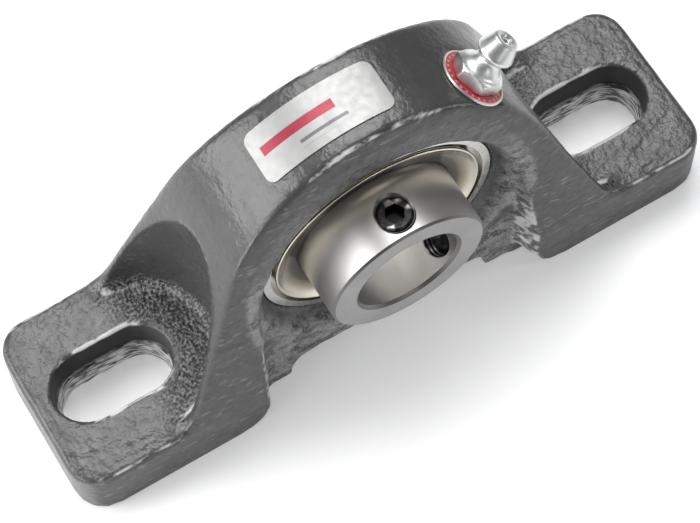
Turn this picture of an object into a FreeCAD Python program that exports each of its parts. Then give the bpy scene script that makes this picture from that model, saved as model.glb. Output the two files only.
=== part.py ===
import FreeCAD, Part
import math
import os
from FreeCAD import Vector

# Two-bolt pillow block ball bearing for a 3/4 inch shaft.
# Frame: origin on the base plane under the bearing centre, X along the base, Y along the shaft
# with the set screw collar towards -Y, Z up. Millimetres.

# Casting
CENTRE_HEIGHT = 33.34       # base to shaft axis, 1 5/16 in
BASE_LENGTH = 127.0         # 5 in
BASE_WIDTH = 34.0
FOOT_HEIGHT = 12.7          # 1/2 in
FOOT_CORNER_RADIUS = 5.8
FOOT_EDGE_RADIUS = 1.0
DOME_RADIUS = 31.75         # gives an overall height of 2 9/16 in
DOME_HALF_WIDTH = 8.0       # half width along the shaft at the top of the dome
WING_LEAN = 22.0            # degrees that each wing's slope leans from vertical
WING_ROOT_RADIUS = 6.0      # hollow fillet between wing and foot
CREST_RADIUS = 1.2
SLOT_SPACING = 97.2
SLOT_LENGTH = 22.2
SLOT_WIDTH = 12.6           # for 3/8 in bolts
POCKET_RADIUS = 14.7        # washer pocket scooped from the wing round the slot's inner end
POCKET_FLOOR_RADIUS = 2.5
ARCH_LENGTH = 40.0
ARCH_HEIGHT = 5.5
ARCH_CORNER_RADIUS = 4.0
FUNNEL_INNER_RADIUS = 22.6  # mouth of the seat beside the outer ring
FUNNEL_OUTER_RADIUS = 24.6
LIP_FACE = 11.8             # distance of the seat's lip from the middle plane
LIP_RADIUS = 26.0
RECESS_FLOOR_RADIUS = 25.1
RECESS_MOUTH_RADIUS = 27.7
WEB_FACE_TOP = 10.6         # web under the lip, at the seat and at the base
WEB_FACE_BOTTOM = 12.2
LOADING_NOTCH_HEIGHT = 16.6
LEG_CORNER_RADIUS = 5.0     # round at the inner lower corner of each leg

# Insert
SPHERE_RADIUS = 23.5        # outer ring's spherical outside, 47 mm
SEAT_CLEARANCE = 0.04
OUTER_RING_HALF_WIDTH = 8.1
SEAL_GROOVE_RADIUS = 20.6
SEAL_GROOVE_FLOOR = 5.1
OUTER_LAND_RADIUS = 19.2
BORE_RADIUS = 9.525         # 3/4 in shaft
BORE_CHAMFER = 0.575
INNER_RING_RADIUS = 14.6
INNER_RING_CHAMFER = 0.4
INNER_RING_FRONT = 18.3     # length of the inner ring on the set screw side
INNER_RING_REAR = 12.7
PITCH_RADIUS = 16.75
BALL_RADIUS = 3.969         # 5/16 in
BALL_COUNT = 8
RACE_CLEARANCE = 0.05
CAGE_CLEARANCE = 0.10
CAGE_THICKNESS = 0.7
CAGE_INNER_RADIUS = 14.95
CAGE_OUTER_RADIUS = 18.55
RIVET_RADIUS = 0.5
RIVET_HEAD_RADIUS = 0.9
RIVET_HEAD_HEIGHT = 0.4
SEAL_LIP_CLEARANCE = 0.04
RUNNING_CLEARANCE = 0.05
LOCK_PIN_RADIUS = 1.5
LOCK_PIN_BOTTOM = 21.9      # distances of the pin's ends from the bearing centre
LOCK_PIN_TOP = 25.2
LOCK_PIN_CHAMFER = 0.25
LOCK_PIN_SLOT_GAP = 0.4     # room above the pin
LUBE_GROOVE_OFFSET = -3.5   # along the shaft
LUBE_GROOVE_WIDTH = 2.2
LUBE_GROOVE_DEPTH = 0.7
LUBE_HOLE_RADIUS = 0.8
SEAL_THICKNESS = 0.8
SEAL_PLATE_THICKNESS = 0.5
SEAL_PLATE_INNER = 1.7      # height of the plate's edge above the inner ring
SEAL_LIP = [(0.8, 1.5), (1.1, 0.5), (1.1, 0.0), (0.75, 0.0), (0.0, 0.9)]  # (outwards, above the lip)
FLINGER_BACK = [(6.75, 0.0), (6.65, 1.2), (6.65, 2.6), (6.9, 3.6), (7.5, 4.7)]
FLINGER_RIM = [(7.85, 5.1), (8.3, 5.1), (8.35, 4.75)]
FLINGER_FRONT = [(7.9, 4.2), (7.4, 3.3), (7.2, 2.5), (7.2, 0.9), (7.5, 0.5), (8.0, 0.45), (8.0, 0.0)]

# Set screws, 1/4-28 with a cup point
SCREW_HOLE_RADIUS = 3.175
SCREW_RADIUS = 3.1
SCREW_LENGTH = 4.76
SCREW_RECESS = 0.15         # outer end below the collar's surface
SCREW_OFFSET = -13.7        # along the shaft
SCREW_ANGLES = {"set_screw_top": 0.0, "set_screw_side": 120.0}
SCREW_SOCKET_FLATS = 3.175
SCREW_SOCKET_DEPTH = 2.4
SCREW_CHAMFER = 0.45
SCREW_CUP_RADIUS = 1.5
SCREW_CUP_DEPTH = 0.8
SCREW_CUP_EDGE = 0.25
SCREW_MOUTH_CHAMFER = 0.3

# Grease fitting, 1/4-28 straight
FITTING_ANGLE = 41.5        # degrees from vertical towards +X
SPOT_FACE_HEIGHT = 31.3     # distance of the flat under the fitting from the shaft axis
SPOT_FACE_RADIUS = 6.2
SPOT_FACE_REACH = 4.0       # how far the spot facing tool runs past the dome
PASSAGE_RADIUS = 1.5        # grease passage from the fitting to the seat
TAG_RADIUS = 5.85
TAG_HOLE_RADIUS = 3.3
TAG_THICKNESS = 0.5
FITTING_THREAD_RADIUS = 3.15
FITTING_THREAD_LENGTH = 5.5
FITTING_THREAD_CHAMFER = 0.4
FITTING_HOLE_GAP = 0.3      # room below the thread's end
FITTING_HEX_FLATS = 7.94
FITTING_HEX_HEIGHT = 2.4
FITTING_HEX_CHAMFER = 0.3
FITTING_HEX_CROWN = 0.6
FITTING_NECK_RADIUS = 2.2
FITTING_HEAD_RADIUS = 3.25
FITTING_TIP_RADIUS = 2.1
FITTING_TIP_HEIGHT = 9.6    # above the spot face
FITTING_TIP_CHAMFER = 0.15
FITTING_FLARE = 0.5         # the neck's extra radius at its foot
FITTING_LEVELS = (1.0, 2.0, 2.6, 3.3, 3.9)  # above the hexagon: foot and ends of the neck, ends of the head's rim
CHECK_BALL_RADIUS = 1.19    # 3/32 in
CHECK_BALL_DEPTH = 1.35     # centre below the tip
FITTING_BORE_RADIUS = 1.3
FITTING_MOUTH_RADIUS = 0.95
FITTING_MOUTH_FLARE = 0.25
FITTING_BALL_FIT = 0.02     # clearance round the check ball
FITTING_STAKE_HEIGHT = 0.5
FITTING_STAKE_RADIUS = 0.75
SPRING_WIRE_RADIUS = 0.14
SPRING_COIL_RADIUS = 0.95
SPRING_TURNS = 8

# Nameplate, a thin label that follows the dome
LABEL_THICKNESS = 0.2
LABEL_HALF_WIDTH = 4.8
LABEL_MIDDLE = -10.5        # degrees from vertical
LABEL_HALF_ANGLE = 21.8
LABEL_CORNER_RADIUS = 1.6

SHAFT_CENTRE = Vector(0, 0, CENTRE_HEIGHT)
SHAFT_DIRECTION = Vector(0, 1, 0)
UP = Vector(0, 0, 1)
OVERRUN = 1.0               # how far a cutting tool runs past what it cuts


# ---------------------------------------------------------------- helpers
def ring(profile):
    """Solid of revolution about the shaft from (distance along the shaft, radius) corners."""
    corners = [Vector(0, along, CENTRE_HEIGHT + radius) for along, radius in profile]
    face = Part.Face(Part.makePolygon(corners + corners[:1]))
    return face.revolve(SHAFT_CENTRE, SHAFT_DIRECTION, 360)


def shaft_cylinder(radius, start, end):
    """Cylinder about the shaft between two distances along it."""
    base = SHAFT_CENTRE + SHAFT_DIRECTION * start
    return Part.makeCylinder(radius, end - start, base, SHAFT_DIRECTION)


def shaft_torus(ring_radius, section_radius):
    return Part.makeTorus(ring_radius, section_radius, SHAFT_CENTRE, SHAFT_DIRECTION)


def radial_direction(angle):
    """Unit vector square to the shaft, at an angle in degrees from vertical towards +X."""
    turn = math.radians(angle)
    return Vector(math.sin(turn), 0, math.cos(turn))


def radial_cylinder(radius, start, end, angle, along=0.0):
    """Cylinder that points away from the shaft, between two distances from it."""
    direction = radial_direction(angle)
    base = SHAFT_CENTRE + SHAFT_DIRECTION * along + direction * start
    return Part.makeCylinder(radius, end - start, base, direction)


def stand_radially(shape, distance, angle, along):
    """Move a shape built up +Z from the origin to a place and direction away from the shaft."""
    origin = SHAFT_CENTRE + SHAFT_DIRECTION * along + radial_direction(angle) * distance
    rotation = FreeCAD.Rotation(SHAFT_DIRECTION, angle)
    shape.Placement = FreeCAD.Placement(origin, rotation)
    return shape


def turned(profile):
    """Solid of revolution about Z from (radius, height) corners."""
    corners = [Vector(radius, 0, height) for radius, height in profile]
    face = Part.Face(Part.makePolygon(corners + corners[:1]))
    return face.revolve(Vector(0, 0, 0), UP, 360)


def hexagon_prism(across_flats, bottom, top):
    corner = across_flats / math.sqrt(3)
    corners = []
    for index in range(7):
        turn = math.radians(60 * index)
        corners.append(Vector(corner * math.cos(turn), corner * math.sin(turn), bottom))
    return Part.Face(Part.makePolygon(corners)).extrude(UP * (top - bottom))


def mirrored_along_shaft(shape):
    return shape.mirror(Vector(0, 0, 0), SHAFT_DIRECTION)


def block(x_range, y_range, z_range):
    size = [high - low for low, high in (x_range, y_range, z_range)]
    return Part.makeBox(*size, Vector(x_range[0], y_range[0], z_range[0]))


def fuse_all(shapes):
    return shapes[0].fuse(shapes[1:]).removeSplitter()


# ---------------------------------------------------------------- casting
def foot_plate():
    """Base plate with rounded corners and a small round along its top edge."""
    plate = block(
        (-BASE_LENGTH / 2, BASE_LENGTH / 2),
        (-BASE_WIDTH / 2, BASE_WIDTH / 2),
        (0, FOOT_HEIGHT),
    )
    upright = [edge for edge in plate.Edges if edge.BoundBox.ZLength > FOOT_HEIGHT / 2]
    plate = plate.makeFillet(FOOT_CORNER_RADIUS, upright)
    rim = [edge for edge in plate.Edges if edge.BoundBox.ZMin > FOOT_HEIGHT - 0.01]
    return plate.makeFillet(FOOT_EDGE_RADIUS, rim)


def saddle_outline():
    """Front outline of the dome and its two wings, which run down into the feet."""
    lean = math.radians(WING_LEAN)
    tangent_x = DOME_RADIUS * math.cos(lean)
    tangent_z = CENTRE_HEIGHT + DOME_RADIUS * math.sin(lean)
    corner_x = tangent_x + (tangent_z - FOOT_HEIGHT) * math.tan(lean)
    run = WING_ROOT_RADIUS * math.tan((math.pi / 2 - lean) / 2)
    root_x = corner_x - run * math.sin(lean)
    root_z = FOOT_HEIGHT + run * math.cos(lean)
    toe_x = corner_x + run
    half = (math.pi / 2 - lean) / 2
    middle_x = toe_x - WING_ROOT_RADIUS * math.sin(half)
    middle_z = FOOT_HEIGHT + WING_ROOT_RADIUS * (1 - math.cos(half))

    def at(x, z):
        return Vector(x, -BASE_WIDTH / 2, z)

    crown = at(0, CENTRE_HEIGHT + DOME_RADIUS)
    edges = [Part.Arc(at(-tangent_x, tangent_z), crown, at(tangent_x, tangent_z))]
    for side in (-1, 1):
        root = at(side * root_x, root_z)
        middle = at(side * middle_x, middle_z)
        toe = at(side * toe_x, FOOT_HEIGHT)
        edges.append(Part.LineSegment(at(side * tangent_x, tangent_z), root))
        edges.append(Part.Arc(root, middle, toe))
        edges.append(Part.LineSegment(toe, at(side * toe_x, 0)))
    edges.append(Part.LineSegment(at(-toe_x, 0), at(toe_x, 0)))
    return Part.Wire(Part.__sortEdges__([edge.toShape() for edge in edges]))


def face_taper():
    """Wedge that narrows the casting from the foot's full width to the dome's width."""
    top = CENTRE_HEIGHT + DOME_RADIUS
    sides = [(-BASE_WIDTH / 2, 0), (-BASE_WIDTH / 2, FOOT_HEIGHT), (-DOME_HALF_WIDTH, top)]
    sides += [(-y, z) for y, z in reversed(sides)]
    corners = [Vector(-BASE_LENGTH / 2, y, z) for y, z in sides]
    return Part.Face(Part.makePolygon(corners + corners[:1])).extrude(Vector(BASE_LENGTH, 0, 0))


def saddle():
    """Dome and wings, tapered in width, with rounded crests."""
    body = Part.Face(saddle_outline()).extrude(SHAFT_DIRECTION * BASE_WIDTH).common(face_taper())
    crests = []
    for edge in body.Edges:
        middle = edge.valueAt((edge.FirstParameter + edge.LastParameter) / 2)
        high = edge.BoundBox.ZMin > FOOT_HEIGHT + 1.0
        if high and edge.BoundBox.XLength > 1.0 and abs(middle.y) > DOME_HALF_WIDTH - 0.01:
            crests.append(edge)
    return body.makeFillet(CREST_RADIUS, crests)


def pocket(side):
    """Washer pocket: an upright round scoop about the slot's inner end, with a rounded floor."""
    centre_x = side * (SLOT_SPACING - SLOT_LENGTH + SLOT_WIDTH) / 2
    tool = Part.makeCylinder(POCKET_RADIUS, 2 * CENTRE_HEIGHT, Vector(centre_x, 0, FOOT_HEIGHT))
    floor = [edge for edge in tool.Edges if edge.BoundBox.ZMax < FOOT_HEIGHT + 0.01]
    return tool.makeFillet(POCKET_FLOOR_RADIUS, floor)


def slot(side):
    """Obround bolt slot through a foot, along X."""
    half = (SLOT_LENGTH - SLOT_WIDTH) / 2
    centre_x = side * SLOT_SPACING / 2
    depth = FOOT_HEIGHT + 2 * OVERRUN
    ends = []
    for end in (-half, half):
        ends.append(Part.makeCylinder(SLOT_WIDTH / 2, depth, Vector(centre_x + end, 0, -OVERRUN)))
    middle = block(
        (centre_x - half, centre_x + half),
        (-SLOT_WIDTH / 2, SLOT_WIDTH / 2),
        (-OVERRUN, FOOT_HEIGHT + OVERRUN),
    )
    return fuse_all([middle] + ends)


def underside_arch():
    """Relief under the middle of the base, right through along the shaft, with rounded corners."""
    arch = block(
        (-ARCH_LENGTH / 2, ARCH_LENGTH / 2),
        (-BASE_WIDTH, BASE_WIDTH),
        (-OVERRUN, ARCH_HEIGHT),
    )
    upper = [
        edge
        for edge in arch.Edges
        if edge.BoundBox.YLength > BASE_WIDTH and edge.BoundBox.ZMin > ARCH_HEIGHT - 0.01
    ]
    return arch.makeFillet(ARCH_CORNER_RADIUS, upper)


def recess_walls(floor):
    """Space between the legs in front of the bearing, from a floor outwards, open downwards."""
    mouth = BASE_WIDTH / 2 + OVERRUN
    growth = (RECESS_MOUTH_RADIUS - RECESS_FLOOR_RADIUS) / (mouth - LIP_FACE)
    floor_radius = RECESS_FLOOR_RADIUS + (floor - LIP_FACE) * growth
    base = Vector(0, -mouth, CENTRE_HEIGHT)
    cone = Part.makeCone(RECESS_MOUTH_RADIUS, floor_radius, mouth - floor, base, SHAFT_DIRECTION)
    section = [
        Vector(-RECESS_MOUTH_RADIUS, -mouth, -OVERRUN),
        Vector(RECESS_MOUTH_RADIUS, -mouth, -OVERRUN),
        Vector(floor_radius, -floor, -OVERRUN),
        Vector(-floor_radius, -floor, -OVERRUN),
    ]
    lower = Part.Face(Part.makePolygon(section + section[:1]))
    lower = lower.extrude(UP * (CENTRE_HEIGHT + OVERRUN))
    return cone.fuse(lower)


def front_recess():
    """Recess with its lip, its funnel beside the outer ring, and the sloping web below the lip."""
    beyond = BASE_WIDTH / 2 + OVERRUN
    funnel = ring([
        (-OUTER_RING_HALF_WIDTH, 0),
        (-OUTER_RING_HALF_WIDTH, FUNNEL_INNER_RADIUS),
        (-LIP_FACE, FUNNEL_OUTER_RADIUS),
        (-beyond, FUNNEL_OUTER_RADIUS),
        (-beyond, 0),
    ])
    top = CENTRE_HEIGHT - LIP_RADIUS / 2
    corners = [
        Vector(-BASE_LENGTH / 2, -beyond, -OVERRUN),
        Vector(-BASE_LENGTH / 2, -WEB_FACE_BOTTOM, -OVERRUN),
        Vector(-BASE_LENGTH / 2, -WEB_FACE_TOP, top),
        Vector(-BASE_LENGTH / 2, -beyond, top),
    ]
    wedge = Part.Face(Part.makePolygon(corners + corners[:1])).extrude(Vector(BASE_LENGTH, 0, 0))
    under_lip = recess_walls(WEB_FACE_TOP).common(wedge)
    under_lip = under_lip.cut(shaft_cylinder(LIP_RADIUS, -beyond, 0))
    return fuse_all([recess_walls(LIP_FACE), under_lip, funnel])


def leg_corner(side):
    """Cutter that rounds a leg's inner lower corner, in front of the web."""
    beyond = BASE_WIDTH / 2 + OVERRUN
    inner = RECESS_FLOOR_RADIUS
    centre_x = RECESS_MOUTH_RADIUS + LEG_CORNER_RADIUS
    corner = block(
        (inner, centre_x),
        (-beyond, -WEB_FACE_BOTTOM),
        (-OVERRUN, LEG_CORNER_RADIUS),
    )
    centre = Vector(centre_x, -beyond, LEG_CORNER_RADIUS)
    corner = corner.cut(Part.makeCylinder(LEG_CORNER_RADIUS, BASE_WIDTH, centre, SHAFT_DIRECTION))
    return corner if side > 0 else corner.mirror(Vector(0, 0, 0), Vector(1, 0, 0))


def seat_cutters():
    """Spherical seat, rear loading notches and the slot that holds the ring's lock pin."""
    radius = SPHERE_RADIUS + SEAT_CLEARANCE
    beyond = BASE_WIDTH / 2 + OVERRUN
    sphere = Part.makeSphere(radius, SHAFT_CENTRE)
    half_notch = LOADING_NOTCH_HEIGHT / 2
    notches = block(
        (-radius, radius),
        (0, beyond),
        (CENTRE_HEIGHT - half_notch, CENTRE_HEIGHT + half_notch),
    )
    half_slot = LOCK_PIN_RADIUS + RUNNING_CLEARANCE
    pin_slot = block(
        (-half_slot, half_slot),
        (-2 * LOCK_PIN_RADIUS, beyond),
        (CENTRE_HEIGHT, CENTRE_HEIGHT + LOCK_PIN_TOP + LOCK_PIN_SLOT_GAP),
    )
    return [sphere, notches, pin_slot]


def fitting_hole_cutters():
    """Spot face, tapped hole and grease passage under the grease fitting."""
    thread_end = SPOT_FACE_HEIGHT + TAG_THICKNESS - FITTING_THREAD_LENGTH - FITTING_HOLE_GAP
    spans = [
        (SPOT_FACE_RADIUS, SPOT_FACE_HEIGHT, DOME_RADIUS + SPOT_FACE_REACH),
        (SCREW_HOLE_RADIUS, thread_end, DOME_RADIUS),
        (PASSAGE_RADIUS, SPHERE_RADIUS - 2 * OVERRUN, DOME_RADIUS),
    ]
    cutters = []
    for radius, start, end in spans:
        cutters.append(radial_cylinder(radius, start, end, FITTING_ANGLE, LUBE_GROOVE_OFFSET))
    return cutters


def housing():
    body = saddle().cut([pocket(-1), pocket(1)])
    casting = fuse_all([body, foot_plate()])
    recess = front_recess()
    cutters = [slot(-1), slot(1), underside_arch(), recess, mirrored_along_shaft(recess)]
    for side in (-1, 1):
        cutters += [leg_corner(side), mirrored_along_shaft(leg_corner(side))]
    cutters += seat_cutters() + fitting_hole_cutters()
    return casting.cut(cutters)


# ---------------------------------------------------------------- insert
def outer_ring():
    half = OUTER_RING_HALF_WIDTH
    land = OUTER_LAND_RADIUS
    floor = SEAL_GROOVE_FLOOR
    groove = SEAL_GROOVE_RADIUS
    beyond = SPHERE_RADIUS + OVERRUN
    blank = ring([
        (-half, groove),
        (-half, beyond),
        (half, beyond),
        (half, groove),
        (floor, groove),
        (floor, land),
        (-floor, land),
        (-floor, groove),
    ])
    shape = blank.common(Part.makeSphere(SPHERE_RADIUS, SHAFT_CENTRE))
    side = LUBE_GROOVE_WIDTH / 2
    lube_groove = ring([
        (LUBE_GROOVE_OFFSET - side, SPHERE_RADIUS - LUBE_GROOVE_DEPTH),
        (LUBE_GROOVE_OFFSET - side, beyond),
        (LUBE_GROOVE_OFFSET + side, beyond),
        (LUBE_GROOVE_OFFSET + side, SPHERE_RADIUS - LUBE_GROOVE_DEPTH),
    ])
    holes = []
    for angle in (FITTING_ANGLE, FITTING_ANGLE + 180):
        holes.append(radial_cylinder(LUBE_HOLE_RADIUS, 0, beyond, angle, LUBE_GROOVE_OFFSET))
    pin_hole = radial_cylinder(LOCK_PIN_RADIUS + RUNNING_CLEARANCE, LOCK_PIN_BOTTOM, beyond, 0)
    raceway = shaft_torus(PITCH_RADIUS, BALL_RADIUS + RACE_CLEARANCE)
    return shape.cut([raceway, lube_groove, pin_hole] + holes)


def lock_pin():
    """Pin in the top of the outer ring that slides in the housing's slot and stops the ring turning."""
    pin = radial_cylinder(LOCK_PIN_RADIUS, LOCK_PIN_BOTTOM + RUNNING_CLEARANCE, LOCK_PIN_TOP, 0)
    return pin.makeChamfer(LOCK_PIN_CHAMFER, [edge for edge in pin.Edges if edge.Closed])


def seal_rubber():
    """Contact seal: a thick rubber disc held in the outer ring, with a lip on the inner ring."""
    lip = INNER_RING_RADIUS + SEAL_LIP_CLEARANCE
    back = -SEAL_GROOVE_FLOOR
    profile = [(back, SEAL_GROOVE_RADIUS), (back - SEAL_THICKNESS, SEAL_GROOVE_RADIUS)]
    for outwards, height in SEAL_LIP:
        profile.append((back - outwards, lip + height))
    return ring(profile)


def seal_plate():
    """Steel disc bonded to the outside of the rubber seal."""
    back = -SEAL_GROOVE_FLOOR - SEAL_THICKNESS
    front = back - SEAL_PLATE_THICKNESS
    inner = INNER_RING_RADIUS + SEAL_PLATE_INNER
    return ring([
        (back, SEAL_GROOVE_RADIUS),
        (front, SEAL_GROOVE_RADIUS),
        (front, inner),
        (back, inner),
    ])


def inner_ring():
    front = -INNER_RING_FRONT
    rear = INNER_RING_REAR
    edge = INNER_RING_RADIUS - INNER_RING_CHAMFER
    mouth = BORE_RADIUS + BORE_CHAMFER
    shape = ring([
        (front, mouth),
        (front, edge),
        (front + INNER_RING_CHAMFER, INNER_RING_RADIUS),
        (rear - INNER_RING_CHAMFER, INNER_RING_RADIUS),
        (rear, edge),
        (rear, mouth),
        (rear - BORE_CHAMFER, BORE_RADIUS),
        (front + BORE_CHAMFER, BORE_RADIUS),
    ])
    cutters = [shaft_torus(PITCH_RADIUS, BALL_RADIUS + RACE_CLEARANCE)]
    sink_height = 3 * SCREW_MOUTH_CHAMFER
    for angle in SCREW_ANGLES.values():
        cutters.append(radial_cylinder(SCREW_HOLE_RADIUS, 0, SPHERE_RADIUS, angle, SCREW_OFFSET))
        sink = Part.makeCone(SCREW_HOLE_RADIUS, SCREW_HOLE_RADIUS + sink_height, sink_height)
        start = INNER_RING_RADIUS - 2 * SCREW_MOUTH_CHAMFER
        cutters.append(stand_radially(sink, start, angle, SCREW_OFFSET))
    return shape.cut(cutters)


def flinger():
    """Dished steel disc pressed on the inner ring in front of the seal, with a rolled rim."""
    profile = FLINGER_BACK + FLINGER_RIM + FLINGER_FRONT
    return ring([(-out, INNER_RING_RADIUS + height) for out, height in profile])


def ball_centre(index):
    return SHAFT_CENTRE + radial_direction(360.0 * index / BALL_COUNT) * PITCH_RADIUS


def ball(index):
    return Part.makeSphere(BALL_RADIUS, ball_centre(index))


def cage_half():
    """Front half of the pressed cage: a flat ribbon with a domed pocket over each ball."""
    pocket_radius = BALL_RADIUS + CAGE_CLEARANCE
    reach = pocket_radius + CAGE_THICKNESS
    domes = []
    hollows = []
    for index in range(BALL_COUNT):
        domes.append(Part.makeSphere(reach, ball_centre(index)))
        hollows.append(Part.makeSphere(pocket_radius, ball_centre(index)))
    inside = shaft_cylinder(CAGE_INNER_RADIUS, -reach - OVERRUN, OVERRUN)
    band = shaft_cylinder(CAGE_OUTER_RADIUS, -reach, 0).cut(inside)
    ribbon = shaft_cylinder(CAGE_OUTER_RADIUS, -CAGE_THICKNESS, 0).cut(inside)
    pockets = fuse_all(domes).common(band)
    holes = [rivet_hole(index) for index in range(BALL_COUNT)]
    return fuse_all([ribbon, pockets]).cut(hollows + holes)


def rivet_centre(index):
    return SHAFT_CENTRE + radial_direction(360.0 * (index + 0.5) / BALL_COUNT) * PITCH_RADIUS


def rivet_hole(index):
    start = rivet_centre(index) - SHAFT_DIRECTION * (CAGE_THICKNESS + OVERRUN)
    length = 2 * (CAGE_THICKNESS + OVERRUN)
    return Part.makeCylinder(RIVET_RADIUS, length, start, SHAFT_DIRECTION)


def cage_rivet(index):
    grip = SHAFT_DIRECTION * CAGE_THICKNESS
    head = SHAFT_DIRECTION * RIVET_HEAD_HEIGHT
    centre = rivet_centre(index)
    pieces = [Part.makeCylinder(RIVET_RADIUS, 2 * CAGE_THICKNESS, centre - grip, SHAFT_DIRECTION)]
    for base in (centre - grip - head, centre + grip):
        pieces.append(Part.makeCylinder(RIVET_HEAD_RADIUS, RIVET_HEAD_HEIGHT, base, SHAFT_DIRECTION))
    return fuse_all(pieces)


def set_screw(angle):
    """Cup point socket set screw, its outer end just below the collar's surface."""
    point = SCREW_CUP_RADIUS + SCREW_CUP_EDGE
    shape = turned([
        (0, SCREW_CUP_DEPTH),
        (SCREW_CUP_RADIUS, 0),
        (point, 0),
        (SCREW_RADIUS, SCREW_RADIUS - point),
        (SCREW_RADIUS, SCREW_LENGTH - SCREW_CHAMFER),
        (SCREW_RADIUS - SCREW_CHAMFER, SCREW_LENGTH),
        (0, SCREW_LENGTH),
    ])
    socket_floor = SCREW_LENGTH - SCREW_SOCKET_DEPTH
    shape = shape.cut(hexagon_prism(SCREW_SOCKET_FLATS, socket_floor, SCREW_LENGTH + OVERRUN))
    bottom = INNER_RING_RADIUS - SCREW_RECESS - SCREW_LENGTH
    return stand_radially(shape, bottom, angle, SCREW_OFFSET)


# ---------------------------------------------------------------- grease fitting and trim
def fitting_place(shape):
    return stand_radially(shape, SPOT_FACE_HEIGHT, FITTING_ANGLE, LUBE_GROOVE_OFFSET)


def fitting_hexagon(bottom, top):
    """Wrench hexagon with a small chamfer under it and a crowned top."""
    corner = FITTING_HEX_FLATS / math.sqrt(3)
    crown = turned([
        (0, bottom),
        (corner - FITTING_HEX_CHAMFER, bottom),
        (corner, bottom + FITTING_HEX_CHAMFER),
        (corner, top - FITTING_HEX_CROWN),
        (FITTING_HEX_FLATS / 2, top),
        (0, top),
    ])
    return hexagon_prism(FITTING_HEX_FLATS, bottom, top).common(crown)


def fitting_stem(hex_bottom, hex_top):
    """Threaded shank, neck and cone head."""
    flare, neck, neck_end, rim, rim_end = [hex_top + level for level in FITTING_LEVELS]
    shank_bottom = hex_bottom - FITTING_THREAD_LENGTH
    inside_flats = FITTING_HEX_FLATS / 2 - FITTING_THREAD_CHAMFER
    return turned([
        (0, shank_bottom),
        (FITTING_THREAD_RADIUS - FITTING_THREAD_CHAMFER, shank_bottom),
        (FITTING_THREAD_RADIUS, shank_bottom + FITTING_THREAD_CHAMFER),
        (FITTING_THREAD_RADIUS, hex_bottom + FITTING_THREAD_CHAMFER),
        (inside_flats, hex_top - FITTING_HEX_CROWN),
        (inside_flats, hex_top),
        (FITTING_NECK_RADIUS + FITTING_FLARE, flare),
        (FITTING_NECK_RADIUS, neck),
        (FITTING_NECK_RADIUS, neck_end),
        (FITTING_HEAD_RADIUS, rim),
        (FITTING_HEAD_RADIUS, rim_end),
        (FITTING_TIP_RADIUS + FITTING_TIP_CHAMFER, FITTING_TIP_HEIGHT - FITTING_TIP_CHAMFER),
        (FITTING_TIP_RADIUS, FITTING_TIP_HEIGHT),
        (0, FITTING_TIP_HEIGHT),
    ])


def fitting_bore(shank_bottom):
    """Passage for the grease, with the check ball's seat near the tip and a staked lower end."""
    ball_height = FITTING_TIP_HEIGHT - CHECK_BALL_DEPTH
    pocket_radius = CHECK_BALL_RADIUS + FITTING_BALL_FIT
    seat = ball_height + math.sqrt(pocket_radius ** 2 - FITTING_MOUTH_RADIUS ** 2)
    stake_top = shank_bottom + FITTING_STAKE_HEIGHT
    bore = turned([
        (0, shank_bottom - OVERRUN),
        (FITTING_STAKE_RADIUS, shank_bottom - OVERRUN),
        (FITTING_STAKE_RADIUS, stake_top),
        (FITTING_BORE_RADIUS, stake_top),
        (FITTING_BORE_RADIUS, ball_height),
        (FITTING_MOUTH_RADIUS, seat),
        (FITTING_MOUTH_RADIUS + FITTING_MOUTH_FLARE, FITTING_TIP_HEIGHT),
        (FITTING_MOUTH_RADIUS + FITTING_MOUTH_FLARE, FITTING_TIP_HEIGHT + OVERRUN),
        (0, FITTING_TIP_HEIGHT + OVERRUN),
    ])
    return [bore, Part.makeSphere(pocket_radius, Vector(0, 0, ball_height))]


def fitting_body():
    """Hexagon, neck and cone head on a threaded shank, bored for the check ball and its spring."""
    bottom = TAG_THICKNESS
    top = bottom + FITTING_HEX_HEIGHT
    solid = fuse_all([fitting_hexagon(bottom, top), fitting_stem(bottom, top)])
    return fitting_place(solid.cut(fitting_bore(bottom - FITTING_THREAD_LENGTH)))


def check_ball():
    centre = Vector(0, 0, FITTING_TIP_HEIGHT - CHECK_BALL_DEPTH)
    return fitting_place(Part.makeSphere(CHECK_BALL_RADIUS, centre))


def check_spring():
    """Coil spring between the staked end of the shank and the check ball."""
    bottom = TAG_THICKNESS - FITTING_THREAD_LENGTH + FITTING_STAKE_HEIGHT + SPRING_WIRE_RADIUS
    ball_height = FITTING_TIP_HEIGHT - CHECK_BALL_DEPTH
    reach = CHECK_BALL_RADIUS + SPRING_WIRE_RADIUS + FITTING_BALL_FIT
    top = ball_height - math.sqrt(reach ** 2 - SPRING_COIL_RADIUS ** 2)
    height = top - bottom
    coil = Part.makeHelix(height / SPRING_TURNS, height, SPRING_COIL_RADIUS)
    coil.translate(Vector(0, 0, bottom))
    start = Vector(SPRING_COIL_RADIUS, 0, bottom)
    section = Part.Wire(Part.makeCircle(SPRING_WIRE_RADIUS, start, SHAFT_DIRECTION))
    return fitting_place(Part.Wire(coil.Edges).makePipeShell([section], True, True))


def tag_ring():
    hole = Part.makeCylinder(TAG_HOLE_RADIUS, TAG_THICKNESS)
    return fitting_place(Part.makeCylinder(TAG_RADIUS, TAG_THICKNESS).cut(hole))


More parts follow.
